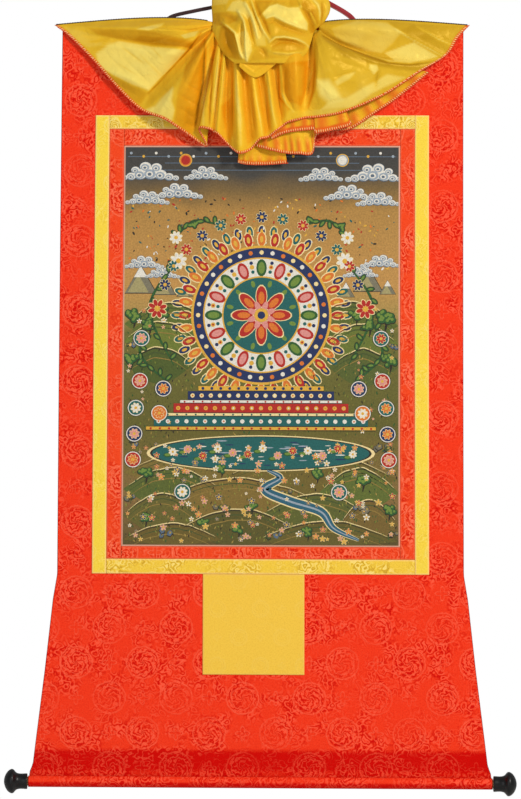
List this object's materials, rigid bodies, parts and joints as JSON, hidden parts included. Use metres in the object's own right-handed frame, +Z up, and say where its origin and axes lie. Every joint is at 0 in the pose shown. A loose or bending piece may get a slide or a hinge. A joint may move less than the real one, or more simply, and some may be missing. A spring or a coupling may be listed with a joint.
{
  "type": "thangka scroll painting with hanging cord",
  "caption": "Brocade scroll mount with a framed painting, flared skirt, lifted silk veil, capped lower rod and hanging cord.",
  "frame": {"origin": "where the hanging cord rests on its hook, at the underside of the cord's top bend", "axes": "+Z up, the front faces -Y, +X to the right seen from the front"},
  "size_m": [0.7944, 0.0769, 1.2931],
  "materials": {
    "red_brocade": "figured satin weave, light sheen",
    "yellow_brocade": "figured satin weave, light sheen",
    "painted_canvas": "printed canvas, matte",
    "veil_silk": "thin satin, glossy folds",
    "stick_wood": "bare planed wood",
    "knob_black": "black lacquer, semi-gloss",
    "cord_braid": "woven cord, matte"
  },
  "bodies": {
    "root": {"mount_cloth": "red_brocade", "painting": "painted_canvas", "red_border_left": "red_brocade", "red_border_right": "red_brocade", "red_border_top": "red_brocade", "red_border_bottom": "red_brocade", "yellow_border_left": "yellow_brocade", "yellow_border_right": "yellow_brocade", "yellow_border_top": "yellow_brocade", "yellow_border_bottom": "yellow_brocade", "door_panel": "yellow_brocade", "veil": "veil_silk", "top_batten": "stick_wood", "bottom_rod": "stick_wood", "knob_left": "knob_black", "knob_right": "knob_black", "hanging_cord": "cord_braid"}
  },
  "joints": []
}
